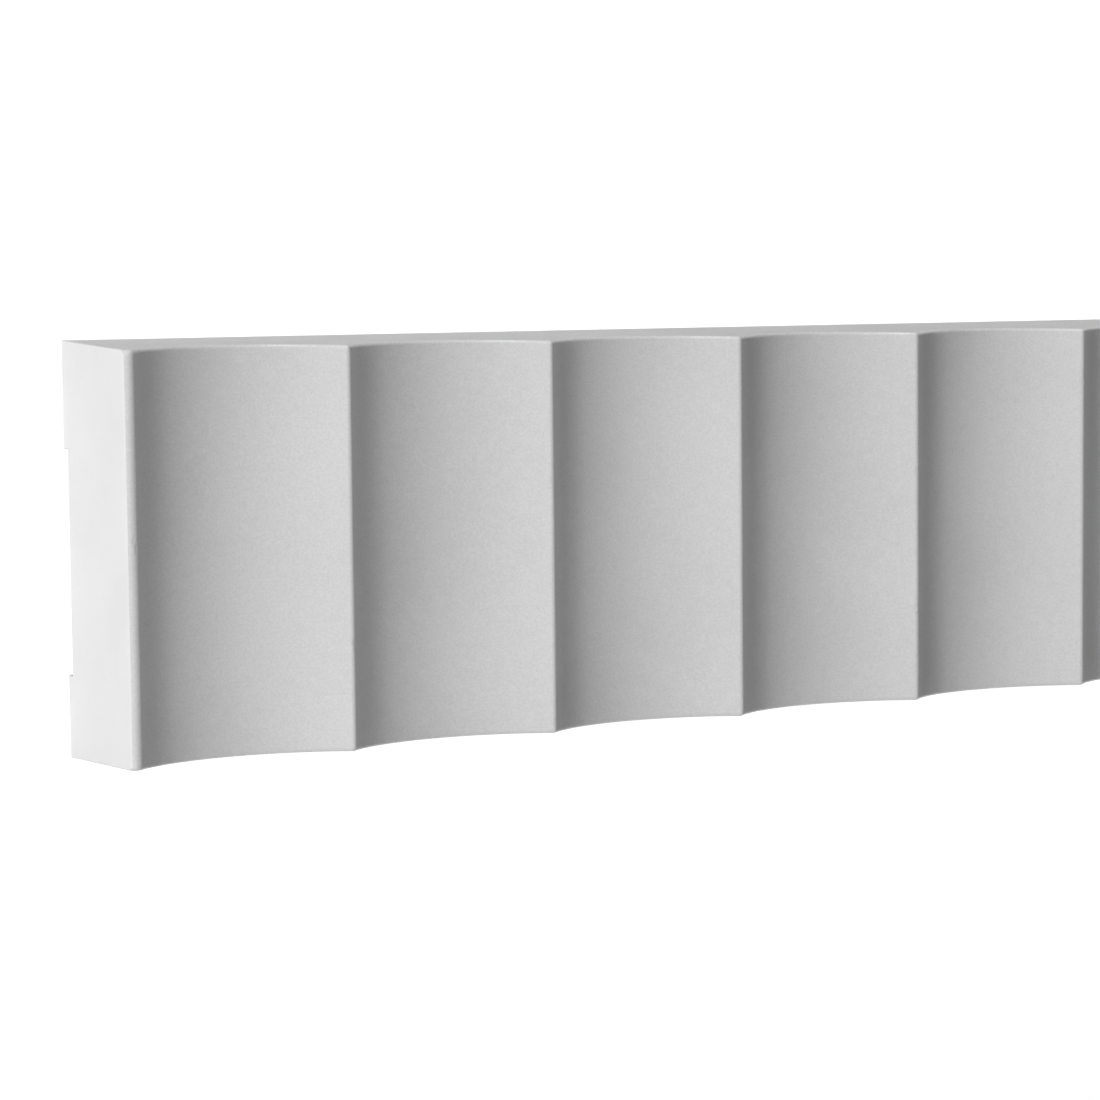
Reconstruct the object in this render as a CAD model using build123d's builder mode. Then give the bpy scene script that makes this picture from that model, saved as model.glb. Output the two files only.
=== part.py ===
# Polyurethane wall moulding: one cast length with concave flutes across its front and a shallow relief
# along its back. It lies on its back: X runs along the length, Y across the height, and Z from the back
# to the crests of the ridges. The origin is the middle of the back.

import os
from math import cos, radians, sin, sqrt, tan

from build123d import *

# Driving dimensions, in millimetres and degrees
length = 2000.0  # one stock length, end face to end face
flute_count = 40  # flutes along it
flute_depth = 10.0  # from a ridge's crest to the floor of a flute
ridge_radius = 0.85  # rounding along each ridge between two flutes
end_radius = 1.4  # rounding along the first and the last ridge
end_turn = 70.0  # how far that rounding turns from its crest to the end face
arris_width = 0.6  # eased edge where a long side meets the flutes and ridges
back_height = 91.0  # across the back, where the moulding is widest
thickness = 36.0  # from the back to the crests
draft_angle = 2.5  # lean of each long side, which lets the casting leave its mould
relief_depth = 2.3  # depth of the relief in the back
upper_land = 23.5  # glued strip of the back above the relief
lower_land = 18.25  # glued strip of the back below the relief
overrun = 5.0  # how far a trimming shape runs past the solid

# A rounder ridge has its crest further out from the flute that it touches: the squares of the two distances
# differ by end_spread. So the half pitch that fills the length is the root of a quadratic.
end_spread = 2 * flute_depth * (end_radius - ridge_radius)
crest_to_crest = length - 2 * end_radius * sin(radians(end_turn))
gaps = flute_count - 1
discriminant = (crest_to_crest / 2) ** 2 + (gaps**2 - 1) * end_spread
half_pitch = (gaps * crest_to_crest / 2 - sqrt(discriminant)) / (gaps**2 - 1)
end_crest = sqrt(half_pitch**2 + end_spread)
flute_pitch = 2 * half_pitch
end_bay_place = gaps * half_pitch
half_height = back_height / 2

# A flute's arc touches the arcs of its ridges
flute_radius = (half_pitch**2 + flute_depth**2) / (2 * flute_depth) - ridge_radius
flute_floor = thickness - flute_depth
flute_axis = flute_floor + flute_radius


def touch_point(crest, radius):
    """Where a flute about X = 0 touches the ridge of the given crest place and radius."""
    share = radius / (flute_radius + radius)
    ridge_axis = thickness - radius
    return crest * (1 - share), ridge_axis + share * (flute_axis - ridge_axis)


def cast_bay(left_crest, left_radius, left_turn):
    """One bay about X = 0: a flute, half a ridge on its right, and a ridge that turns left from its crest."""
    turn = radians(left_turn)
    left_start = (-left_crest - left_radius * sin(turn), thickness - left_radius * (1 - cos(turn)))
    left_touch = touch_point(-left_crest, left_radius)
    right_touch = touch_point(half_pitch, ridge_radius)
    right_start = (half_pitch, thickness)
    top = thickness + overrun
    lean = top * tan(radians(draft_angle))
    with BuildPart() as bay:
        # Outline along the length: the flute and its ridges above a plain block
        with BuildSketch(Plane.XZ):
            with BuildLine():
                TangentArc(left_start, left_touch, tangent=(cos(turn), sin(turn)))
                ThreePointArc(left_touch, (0, flute_floor), right_touch)
                TangentArc(right_start, right_touch, tangent=(-1, 0))
                Polyline(left_start, (left_start[0], -overrun), (half_pitch, -overrun), right_start)
            make_face()
        extrude(amount=half_height + overrun, both=True)

        # Section across the height: two leaning sides, and the relief between the glued lands
        with BuildSketch(Plane.YZ):
            Polygon(
                (-half_height, 0),
                (-half_height + lower_land, 0),
                (-half_height + lower_land, relief_depth),
                (half_height - upper_land, relief_depth),
                (half_height - upper_land, 0),
                (half_height, 0),
                (half_height - lean, top),
                (-half_height + lean, top),
                align=None,
            )
        extrude(amount=half_pitch + overrun, both=True, mode=Mode.INTERSECT)

        # Eased edges where the leaning sides meet the flute and its ridges
        leaning = bay.faces().filter_by(lambda face: abs(face.normal_at().Y) > cos(radians(2 * draft_angle)))
        sides = leaning.sort_by(SortBy.AREA)[-2:]
        chamfer(sides.edges().filter_by(GeomType.LINE, reverse=True), length=arris_width)
    return bay.part


middle_bay = cast_bay(half_pitch, ridge_radius, left_turn=0)
end_bay = cast_bay(end_crest, end_radius, left_turn=end_turn)

with BuildPart() as moulding:
    with GridLocations(flute_pitch, 1, flute_count - 2, 1):
        add(middle_bay)
    with Locations((-end_bay_place, 0)):
        add(end_bay)
    with Locations((end_bay_place, 0)):
        add(end_bay.mirror(Plane.YZ))

moulding.part.label = "fluted_moulding"
os.makedirs("parts", exist_ok=True)
export_step(moulding.part, "parts/fluted_moulding.step")
print("pitch", round(flute_pitch, 3), "flute radius", round(flute_radius, 3))
print("volume, litres", round(moulding.part.volume / 1e6, 4), "faces", len(moulding.faces()))
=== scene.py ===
from math import asin, cos, pi, radians, sin, sqrt, tan

import bmesh
import bpy
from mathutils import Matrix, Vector


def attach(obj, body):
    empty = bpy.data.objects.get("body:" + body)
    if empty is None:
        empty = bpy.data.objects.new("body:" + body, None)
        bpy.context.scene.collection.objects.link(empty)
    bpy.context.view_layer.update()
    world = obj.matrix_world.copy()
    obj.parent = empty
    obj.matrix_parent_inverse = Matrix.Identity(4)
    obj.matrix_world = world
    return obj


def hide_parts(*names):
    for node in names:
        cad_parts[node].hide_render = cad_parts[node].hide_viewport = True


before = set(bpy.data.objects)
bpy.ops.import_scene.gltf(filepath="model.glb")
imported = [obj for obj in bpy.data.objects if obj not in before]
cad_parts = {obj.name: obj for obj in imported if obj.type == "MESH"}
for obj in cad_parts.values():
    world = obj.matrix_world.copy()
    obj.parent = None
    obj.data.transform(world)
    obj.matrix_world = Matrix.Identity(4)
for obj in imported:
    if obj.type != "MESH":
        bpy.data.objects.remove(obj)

for name in ("Cube", "Light", "Camera"):  # what an empty file may start with
    if name in bpy.data.objects:
        bpy.data.objects.remove(bpy.data.objects[name])
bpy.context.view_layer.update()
print("frame loaded:", sorted(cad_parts))


# the moulding, sizes as in the CAD, in metres and degrees
moulding = {
    "length": 2.0,
    "flutes": 40,
    "thickness": 0.036,
    "backHeight": 0.091,
    "draft": 2.5,
    "fluteDepth": 0.010,
    "ridgeRadius": 0.00085,
    "endRadius": 0.0014,  # of the first and last ridge
    "endTurn": 70,  # how far those turn down before the end face
    "reliefDepth": 0.0023,
    "upperLand": 0.0235,
    "lowerLand": 0.01825,
    "arrisRadius": 0.00085,  # along the flutes, where they meet the long sides
    "softEdge": 0.00035,  # round the ends and along the back
    "fluteSteps": 36,
    "endSteps": 14,
    "edgeSteps": 6,
    "overrun": 0.005,
    "softenAbove": 18,  # outer corners that bend more than this are softened
    "smoothBelow": 35,  # bends that are shaded as one surface
}
near = {"cut": 1e-7, "pick": 1e-6, "join": 1e-5, "weld": 2e-5}  # how close counts as touching, in metres
squareOn = 0.9  # a normal that has this much along an axis faces that way
frontTilt = 0.3  # the same for the curved front

ridgeRadius = moulding["ridgeRadius"]
endRadius = moulding["endRadius"]
halfHeight = moulding["backHeight"] / 2

# half pitch that fills the length, with the crest of a rounder end ridge further out from its flute
gaps = moulding["flutes"] - 1
endSpread = 2 * moulding["fluteDepth"] * (endRadius - ridgeRadius)
halfRun = moulding["length"] / 2 - endRadius * sin(radians(moulding["endTurn"]))
halfPitch = (gaps * halfRun - sqrt(halfRun**2 + (gaps**2 - 1) * endSpread)) / (gaps**2 - 1)
endCrest = sqrt(halfPitch**2 + endSpread)
pitch = 2 * halfPitch

# the flute's arc touches the arcs of its two ridges
fluteRadius = (halfPitch**2 + moulding["fluteDepth"] ** 2) / (2 * moulding["fluteDepth"]) - ridgeRadius
fluteAxis = moulding["thickness"] - moulding["fluteDepth"] + fluteRadius
steepest = asin(halfPitch / (fluteRadius + ridgeRadius))  # slope of a flute where it meets its ridge


def pick(kind, test):  # selects the open mesh's verts or faces that pass the test
    mode = {"verts": "VERT", "faces": "FACE"}[kind]
    bpy.ops.mesh.select_mode(type=mode)
    bpy.ops.mesh.select_all(action="DESELECT")
    mesh = bmesh.from_edit_mesh(bpy.context.object.data)
    for item in getattr(mesh, kind):
        item.select_set(bool(test(item)))
    mesh.select_flush_mode()
    bmesh.update_edit_mesh(bpy.context.object.data)


def only(*objects):  # selects these and makes the first one active
    bpy.ops.object.select_all(action="DESELECT")
    for item in objects:
        item.select_set(True)
    bpy.context.view_layer.objects.active = objects[0]


def applyAll(item):
    only(item)
    for modifier in list(item.modifiers):
        bpy.ops.object.modifier_apply(modifier=modifier.name)


def carveBay(name, isEnd):  # one flute between sharp crests, or with the round ridge of an end at its left
    bpy.ops.object.select_all(action="DESELECT")
    around = round(moulding["fluteSteps"] * pi / steepest / 4) * 4
    bpy.ops.mesh.primitive_circle_add(
        vertices=around, radius=fluteRadius, location=(0, 0, fluteAxis), rotation=(pi / 2, 0, 0)
    )
    bay = bpy.context.object
    bay.name = name
    bpy.ops.object.transform_apply(location=True, rotation=True, scale=True)

    # front line: the bottom of the circle, then a spin round an end's ridge
    endSlope = asin(endCrest / (fluteRadius + endRadius))
    left = -fluteRadius * sin(endSlope) if isEnd else -halfPitch
    bpy.ops.object.mode_set(mode="EDIT")
    for place, facing in (
        ((0, 0, fluteAxis), (0, 0, 1)),
        ((left, 0, 0), (-1, 0, 0)),
        ((halfPitch, 0, 0), (1, 0, 0)),
    ):
        bpy.ops.mesh.select_all(action="SELECT")
        bpy.ops.mesh.bisect(plane_co=place, plane_no=facing, clear_outer=True, threshold=near["cut"])
    if isEnd:
        pick("verts", lambda v: v.co.x < left + near["pick"])
        bpy.ops.mesh.spin(
            steps=moulding["endSteps"],
            angle=endSlope + radians(moulding["endTurn"]),
            center=(-endCrest, 0, moulding["thickness"] - endRadius),
            axis=(0, 1, 0),
        )

    # closed outline, drawn out across the height
    mesh = bmesh.from_edit_mesh(bay.data)
    first, last = min(v.co.x for v in mesh.verts), max(v.co.x for v in mesh.verts)
    pick("verts", lambda v: v.co.x < first + near["pick"] or v.co.x > last - near["pick"])
    drop = -moulding["thickness"] - moulding["overrun"]
    bpy.ops.mesh.extrude_region_move(TRANSFORM_OT_translate={"value": (0, 0, drop)})
    bpy.ops.mesh.edge_face_add()
    bpy.ops.mesh.select_all(action="SELECT")
    bpy.ops.mesh.edge_face_add()
    reach = halfHeight + moulding["overrun"]
    bpy.ops.transform.translate(value=(0, -reach, 0))
    bpy.ops.mesh.extrude_region_move(TRANSFORM_OT_translate={"value": (0, 2 * reach, 0)})
    bpy.ops.mesh.select_all(action="SELECT")
    bpy.ops.mesh.normals_make_consistent(inside=False)

    # leaning sides and the flat of the back
    lean = radians(moulding["draft"])
    for place, facing in (
        ((0, halfHeight, 0), (0, cos(lean), sin(lean))),
        ((0, -halfHeight, 0), (0, -cos(lean), sin(lean))),
        ((0, 0, 0), (0, 0, -1)),
    ):
        bpy.ops.mesh.select_all(action="SELECT")
        bpy.ops.mesh.bisect(
            plane_co=place, plane_no=facing, use_fill=True, clear_outer=True, threshold=near["cut"]
        )
    bpy.ops.object.mode_set(mode="OBJECT")

    # relief between the glued lands
    low, high = moulding["lowerLand"] - halfHeight, halfHeight - moulding["upperLand"]
    bpy.ops.mesh.primitive_cube_add(
        size=1, location=(0, (low + high) / 2, 0), scale=(pitch * 2, high - low, moulding["reliefDepth"] * 2)
    )
    cutter = bpy.context.object
    relief = bay.modifiers.new("relief", "BOOLEAN")
    relief.object, relief.operation, relief.solver = cutter, "DIFFERENCE", "EXACT"
    applyAll(bay)
    bpy.data.objects.remove(cutter)

    # open where the next bay joins on
    only(bay)
    bpy.ops.object.mode_set(mode="EDIT")
    joins = [halfPitch] if isEnd else [halfPitch, -halfPitch]
    pick("faces", lambda f: any(all(abs(v.co.x - x) < near["join"] for v in f.verts) for x in joins))
    bpy.ops.mesh.delete(type="FACE")
    bpy.ops.object.mode_set(mode="OBJECT")
    return bay


def castMoulding():
    run = carveBay("flutedFront", False)
    leftEnd = carveBay("leftEnd", True)
    only(leftEnd)
    bpy.ops.object.duplicate(linked=False)
    rightEnd = bpy.context.object

    # the row of bays between the two ends
    between = moulding["flutes"] - 2
    run.location.x = -(between - 1) * halfPitch
    row = run.modifiers.new("row", "ARRAY")
    row.count, row.use_relative_offset, row.use_constant_offset = between, False, True
    row.constant_offset_displace = (pitch, 0, 0)
    applyAll(run)
    leftEnd.location.x = -(between + 1) * halfPitch
    rightEnd.location.x = (between + 1) * halfPitch
    rightEnd.scale.x = -1
    only(run, leftEnd, rightEnd)
    bpy.ops.object.transform_apply(location=True, rotation=True, scale=True)
    bpy.ops.object.join()
    bpy.ops.object.mode_set(mode="EDIT")
    bpy.ops.mesh.select_all(action="SELECT")
    bpy.ops.mesh.remove_doubles(threshold=near["weld"])
    bpy.ops.mesh.normals_make_consistent(inside=False)

    # rounded ridges, eased arrises along the flutes, and softer corners at the ends and the back
    mesh = bmesh.from_edit_mesh(run.data)
    weight = mesh.edges.layers.float.new("bevel_weight_edge")
    ridgeShare = ridgeRadius * tan(steepest) / moulding["arrisRadius"]
    softShare = moulding["softEdge"] / moulding["arrisRadius"]
    for edge in mesh.edges:
        facing = [f.normal for f in edge.link_faces]
        onSide = any(abs(n.y) > squareOn for n in facing)
        onFront = [n.z > frontTilt for n in facing]
        bend = edge.calc_face_angle(0)
        if onSide and any(onFront):
            edge[weight] = 1
        elif all(onFront) and bend > steepest:
            edge[weight] = ridgeShare
        elif edge.is_convex and bend > radians(moulding["softenAbove"]):
            edge[weight] = softShare
    bmesh.update_edit_mesh(run.data)
    bpy.ops.object.mode_set(mode="OBJECT")
    ease = run.modifiers.new("ease", "BEVEL")
    ease.width, ease.segments, ease.limit_method = moulding["arrisRadius"], moulding["edgeSteps"], "WEIGHT"
    ease.use_clamp_overlap = False
    applyAll(run)
    bpy.ops.object.shade_smooth_by_angle(angle=radians(moulding["smoothBelow"]))
    evenOut = run.modifiers.new("evenOut", "WEIGHTED_NORMAL")
    evenOut.keep_sharp, evenOut.weight = True, 100
    applyAll(run)
    return run


flutedFront = castMoulding()
print("moulding cast:", len(flutedFront.data.polygons), "faces")


class Wire:  # a shader socket that can stand in a sum
    def __init__(self, tree, socket=None):
        self.tree = tree
        self.socket = socket

    def node(self, kind, settings, sockets, out=0):
        made = self.tree.nodes.new(kind)
        for name, value in settings.items():
            setattr(made, name, value)
        for name, value in sockets.items():
            if isinstance(value, Wire):
                self.tree.links.new(value.socket, made.inputs[name])
            else:
                made.inputs[name].default_value = value
        return Wire(self.tree, made.outputs[out]) if made.outputs else None

    def math(self, operation, first, second=0.0):
        return self.node("ShaderNodeMath", {"operation": operation}, {0: first, 1: second})

    def __add__(self, other):
        return self.math("ADD", self, other)

    def __sub__(self, other):
        return self.math("SUBTRACT", self, other)

    def __rsub__(self, other):
        return self.math("SUBTRACT", other, self)

    def __mul__(self, other):
        return self.math("MULTIPLY", self, other)

    __radd__ = __add__
    __rmul__ = __mul__


def newFinish(name):
    finish = bpy.data.materials.new(name)
    finish.use_nodes = True
    finish.node_tree.nodes.clear()
    return finish, Wire(finish.node_tree)


coatRoughness = 0.16  # of the gloss, where there is any


def coat(pen, colour, roughness, height, specular, gloss=0.0):  # a surface with its grain
    grain = pen.node("ShaderNodeBump", {}, {"Strength": 1.0, "Distance": 1.0, "Height": height})
    skin = pen.node(
        "ShaderNodeBsdfPrincipled",
        {},
        {
            "Base Color": colour,
            "Roughness": roughness,
            "Specular IOR Level": specular,
            "Coat Weight": gloss,
            "Coat Roughness": coatRoughness,
            "Normal": grain,
        },
    )
    pen.node("ShaderNodeOutputMaterial", {}, {"Surface": skin})


def noise(pen, place, scale, detail=2.0, roughness=0.5):  # grey noise between 0 and 1
    return pen.node(
        "ShaderNodeTexNoise", {}, {"Vector": place, "Scale": scale, "Detail": detail, "Roughness": roughness}
    )


def fade(pen, value, start, end):  # 0 before start, 1 after end
    return pen.node(
        "ShaderNodeMapRange",
        {"interpolation_type": "SMOOTHSTEP"},
        {"Value": value, "From Min": start, "From Max": end, "To Min": 0.0, "To Max": 1.0},
    )


def cells(pen, place, perMetre):  # distance from the middle of the nearest cell
    return pen.node("ShaderNodeTexVoronoi", {}, {"Vector": place, "Scale": perMetre}, "Distance")


def blend(pen, share, first, second):  # sockets 6 and 7 are the Mix node's colours, and 2 its colour out
    return pen.node(
        "ShaderNodeMix", {"data_type": "RGBA"}, {"Factor": share, 6: (*first, 1), 7: (*second, 1)}, 2
    )


# primer over the moulded skin: front, ridges and long sides
primer = {
    "light": (0.80, 0.80, 0.80),
    "dull": (0.70, 0.70, 0.70),
    "roughness": 0.65,
    "grainRoughness": 0.12,
    "pinholeRoughness": 0.2,
    "specular": 0.08,
    "rubbed": 1.0,  # gloss along the arrises, where handling has polished them
    "rubbedFrom": (0.55, 0.8),  # noise between which the gloss comes in
    "cloudsPerMetre": 22,
    "patchesFrom": (0.35, 0.65),
    "patchShade": 0.4,
    "speckSize": 0.0005,
    "speckFrom": 0.35,
    "speckShade": 2.2,
    "grainSize": 0.0007,
    "grainDepth": 0.00005,
    "peelSize": 0.0028,
    "peelDepth": 0.000007,
    "pinholesPerMetre": 80,
    "pinholeRadius": 0.00022,
    "pinholeDepth": 0.000088,
    "chipsPerMetre": 130,
    "chipsFrom": (0.62, 0.72),
    "nickPaintedShade": 0.3,
    "nickDepth": 0.00012,
}


def paintPrimer():
    finish, pen = newFinish("primedSkin")
    place = pen.node("ShaderNodeTexCoord", {}, {}, "Object")
    x, y, z = [pen.node("ShaderNodeSeparateXYZ", {}, {"Vector": place}, axis) for axis in range(3)]
    normal = pen.node("ShaderNodeNewGeometry", {}, {}, "Normal")
    facing = pen.node("ShaderNodeSeparateXYZ", {}, {"Vector": normal}, 2)
    cloud = noise(pen, place, primer["cloudsPerMetre"], 3)
    mottle = noise(pen, place, 1 / primer["peelSize"], 2)
    grain = noise(pen, place, 1 / primer["grainSize"], 3, 0.6)
    speck = noise(pen, place, 1 / primer["speckSize"], 2, 0.7)

    # pinholes anywhere, nicks on the ridges only; both are sunk by the bump and darkened in colour, and that
    # darkening is painted shade in the pits
    reach = primer["pinholeRadius"] * primer["pinholesPerMetre"]
    pinhole = 1 - fade(pen, cells(pen, place, primer["pinholesPerMetre"]), reach * 0.6, reach)
    beside = pen.math("PINGPONG", x, pitch / 2)  # how far the nearest crest is
    chips = fade(pen, noise(pen, place, primer["chipsPerMetre"], 4, 0.65), *primer["chipsFrom"])
    nick = chips * (1 - fade(pen, beside, ridgeRadius * 0.4, ridgeRadius * 1.1))

    patches = fade(pen, cloud * 0.7 + mottle * 0.3, *primer["patchesFrom"])
    # patches and specks are the primer's own uneven tone; the darker pinholes and nicks are painted shade
    dulled = (
        patches * primer["patchShade"]
        + (speck - primer["speckFrom"]) * primer["speckShade"]
        + pinhole
        + nick * primer["nickPaintedShade"]
    )
    height = (
        grain * primer["grainDepth"]
        + mottle * primer["peelDepth"]
        - pinhole * primer["pinholeDepth"]
        - nick * primer["nickDepth"]
    )

    # gloss in spots along the arrises, found by their depth behind a long side
    inset = halfHeight - pen.math("ABSOLUTE", y) - z * tan(radians(moulding["draft"]))
    onArris = (1 - fade(pen, inset, 0.0, moulding["arrisRadius"])) * fade(pen, facing, 0.2, 0.5)
    rubbed = onArris * fade(pen, speck + mottle * 0.5, *primer["rubbedFrom"])
    rough = (
        primer["roughness"]
        + (grain - 0.5) * primer["grainRoughness"]
        + pinhole * primer["pinholeRoughness"]
    )
    colour = blend(pen, dulled, primer["light"], primer["dull"])
    coat(pen, colour, rough, height, primer["specular"], rubbed * primer["rubbed"])
    return finish


# the sawn ends show the foam itself, but lighter than the same foam on the back: partly the foam's colour,
# partly painted light for the brightly lit end face
sawn = {
    # lighter than the planed back's foam: partly painted light of the lit end face
    "light": (0.97, 0.97, 0.97),
    "dull": (0.90, 0.90, 0.90),
    "roughness": 0.7,
    "specular": 0.25,
    "cellSize": 0.00045,
    "cellDepth": 0.00001,
    "kerfSpacing": 0.0016,
    "kerfDepth": 0.000004,
    "cloudsPerMetre": 60,
    "cloudsFrom": (0.35, 0.7),
    "cloudShade": 0.5,
    "cellPaintedShade": 0.3,
    "cellRoughness": 0.1,
}


def paintSawnEnd():
    finish, pen = newFinish("sawnFoamWithPaintedLight")
    place = pen.node("ShaderNodeTexCoord", {}, {}, "Object")
    cell = cells(pen, place, 1 / sawn["cellSize"])
    kerf = pen.node(
        "ShaderNodeTexWave",
        {"bands_direction": "Y"},
        {
            "Vector": place,
            "Scale": 0.05 / sawn["kerfSpacing"],
            "Distortion": 1.5,
            "Detail": 2.0,
            "Detail Scale": 2.0,
        },
        "Fac",
    )
    cloud = fade(pen, noise(pen, place, sawn["cloudsPerMetre"], 3), *sawn["cloudsFrom"])
    # the clouds are the foam's own tone; the darkening in the middle of each cell, where the bump sinks a
    # pore, is painted shade
    dulled = cloud * sawn["cloudShade"] + (1 - cell) * sawn["cellPaintedShade"]
    height = cell * sawn["cellDepth"] + kerf * sawn["kerfDepth"]
    rough = sawn["roughness"] + cell * sawn["cellRoughness"]
    coat(pen, blend(pen, dulled, sawn["light"], sawn["dull"]), rough, height, sawn["specular"])
    return finish


# the back is planed foam, left unpainted for the adhesive
planed = {
    "light": (0.80, 0.785, 0.735),
    "dull": (0.72, 0.70, 0.64),
    "roughness": 0.8,
    "specular": 0.2,
    "scratchSize": 0.0006,
    "scratchDepth": 0.00002,
    "scratchStretch": (0.02, 1, 1),  # drawn out along the length
    "scratchShade": 0.2,
    "scratchRoughness": 0.1,
    "cellSize": 0.0005,
    "cellDepth": 0.000015,
    "cloudsPerMetre": 14,
    "cloudsFrom": (0.35, 0.7),
    "cloudShade": 0.7,
}


def paintPlanedBack():
    finish, pen = newFinish("planedBack")
    place = pen.node("ShaderNodeTexCoord", {}, {}, "Object")
    drawn = pen.node("ShaderNodeMapping", {}, {"Vector": place, "Scale": planed["scratchStretch"]})
    scratch = noise(pen, drawn, 1 / planed["scratchSize"], 3, 0.6)
    cell = cells(pen, place, 1 / planed["cellSize"])
    cloud = fade(pen, noise(pen, place, planed["cloudsPerMetre"], 4, 0.6), *planed["cloudsFrom"])
    dulled = cloud * planed["cloudShade"] + scratch * planed["scratchShade"]
    height = scratch * planed["scratchDepth"] + cell * planed["cellDepth"]
    rough = planed["roughness"] + scratch * planed["scratchRoughness"]
    coat(pen, blend(pen, dulled, planed["light"], planed["dull"]), rough, height, planed["specular"])
    return finish


def isSawn(face):  # the two end faces
    endPlane = moulding["length"] / 2 - moulding["softEdge"] / 2
    return abs(face.normal.x) > squareOn and abs(face.calc_center_median().x) > endPlane


def isPlaned(face):  # the back, with the relief and its two walls
    middle = face.calc_center_median()
    isWall = abs(face.normal.y) > squareOn and abs(middle.y) < halfHeight - 0.01
    return face.normal.z < -squareOn or middle.z < moulding["reliefDepth"] and isWall


def finishMoulding(piece):
    for finish in (paintPrimer(), paintSawnEnd(), paintPlanedBack()):
        piece.data.materials.append(finish)
    only(piece)
    bpy.ops.object.mode_set(mode="EDIT")
    for index, test in enumerate((lambda face: True, isSawn, isPlaned)):
        pick("faces", test)
        piece.active_material_index = index
        bpy.ops.object.material_slot_assign()
    bpy.ops.object.mode_set(mode="OBJECT")
    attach(piece, "root")
    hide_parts("fluted_moulding")


finishMoulding(flutedFront)
print("finishes on:", [m.name for m in flutedFront.data.materials])


# pale floor, white to the camera where nothing shades it
studio = {
    "floorColour": (0.8, 0.8, 0.8, 1),
    "floorGlow": 0.90,
    "floorTint": (0.35, 0.35, 0.35, 1),
    "floorSize": 60,
    "floorDrop": 0.0002,  # below the back, so that the two don't share a plane
    "ambient": 0.055,
}


def backdropRay(pen):  # 1 on the rays that see the white background: camera, glossy and transmission
    kinds = ("Camera", "Glossy", "Transmission")
    path = [pen.node("ShaderNodeLightPath", {}, {}, f"Is {kind} Ray") for kind in kinds]
    return pen.math("MAXIMUM", pen.math("MAXIMUM", path[0], path[1]), path[2])


def layFloor():
    bpy.ops.object.select_all(action="DESELECT")
    bpy.ops.mesh.primitive_plane_add(size=studio["floorSize"], location=(0, 0, -studio["floorDrop"]))
    floor = bpy.context.object
    floor.name = "paleFloor"
    finish, pen = newFinish("paleFloor")
    plain = pen.node("ShaderNodeBsdfDiffuse", {}, {"Color": studio["floorColour"]})
    tint = pen.node("ShaderNodeBsdfDiffuse", {}, {"Color": studio["floorTint"]})
    glow = pen.node("ShaderNodeEmission", {}, {"Color": (1, 1, 1, 1), "Strength": studio["floorGlow"]})
    shown = pen.node("ShaderNodeAddShader", {}, {0: tint, 1: glow})
    mixed = pen.node("ShaderNodeMixShader", {}, {"Fac": backdropRay(pen), 1: plain, 2: shown})
    pen.node("ShaderNodeOutputMaterial", {}, {"Surface": mixed})
    floor.data.materials.append(finish)


def lightWorld():
    world = bpy.data.worlds.new("studio")
    bpy.context.scene.world = world
    world.use_nodes = True
    world.node_tree.nodes.clear()
    pen = Wire(world.node_tree)
    strength = studio["ambient"] + backdropRay(pen) * (1 - studio["ambient"])
    sky = pen.node("ShaderNodeBackground", {}, {"Color": (1, 1, 1, 1), "Strength": strength})
    pen.node("ShaderNodeOutputWorld", {}, {"Surface": sky})


# soft lamps: where each hangs, the spot it faces, its width and height,
# its power in watts and its spread in degrees
lamps = {
    "key": ((-2.711, 0.155, 1.338), (-0.95, 0, 0.03), (0.31, 0.31), 26.5, 180),
    "high": ((-1.841, 0.078, 2.040), (-0.95, 0, 0.03), (0.40, 0.40), 9.5, 180),
    "top": ((-0.95, 2.179, 0.336), (-0.95, 0, 0.03), (0.57, 0.57), 13.2, 180),
    "under": ((-0.1, -2.0, 0.13), (-0.1, 0, 0.03), (2.4, 0.2), 8.0, 180),
    "farEnd": ((1.8, -0.1, 0.13), (1.0, 0, 0.02), (0.4, 0.2), 3.5, 180),
    "overFar": ((0.55, 0.3, 1.1), (0.6, 0, 0.03), (1.2, 0.4), 0.95, 70),
}


def hangLamps():
    for name, (place, spot, size, power, spread) in lamps.items():
        turn = (Vector(place) - Vector(spot)).to_track_quat("Z", "Y").to_euler()
        bpy.ops.object.light_add(type="AREA", location=place, rotation=turn)
        lamp = bpy.context.object
        lamp.name = name
        lamp.visible_camera = False
        lamp.data.shape, lamp.data.energy, lamp.data.spread = "RECTANGLE", power, radians(spread)
        lamp.data.size, lamp.data.size_y = size


viewpoint = {
    "place": (-1.251735, 0.058558, 0.657812),
    "turn": (-4.5547, -29.5812, -0.6898),
    "lens": 105.278,
    "sensor": 36,
    "nearest": 0.01,
    "farthest": 100,
}


def setCamera():
    bpy.ops.object.camera_add(location=viewpoint["place"], rotation=[radians(a) for a in viewpoint["turn"]])
    camera = bpy.context.object
    camera.data.lens, camera.data.sensor_width = viewpoint["lens"], viewpoint["sensor"]
    camera.data.clip_start, camera.data.clip_end = viewpoint["nearest"], viewpoint["farthest"]
    bpy.context.scene.camera = camera
    bpy.context.scene.view_settings.view_transform = "Standard"


layFloor()
lightWorld()
hangLamps()
setCamera()
print("studio set")
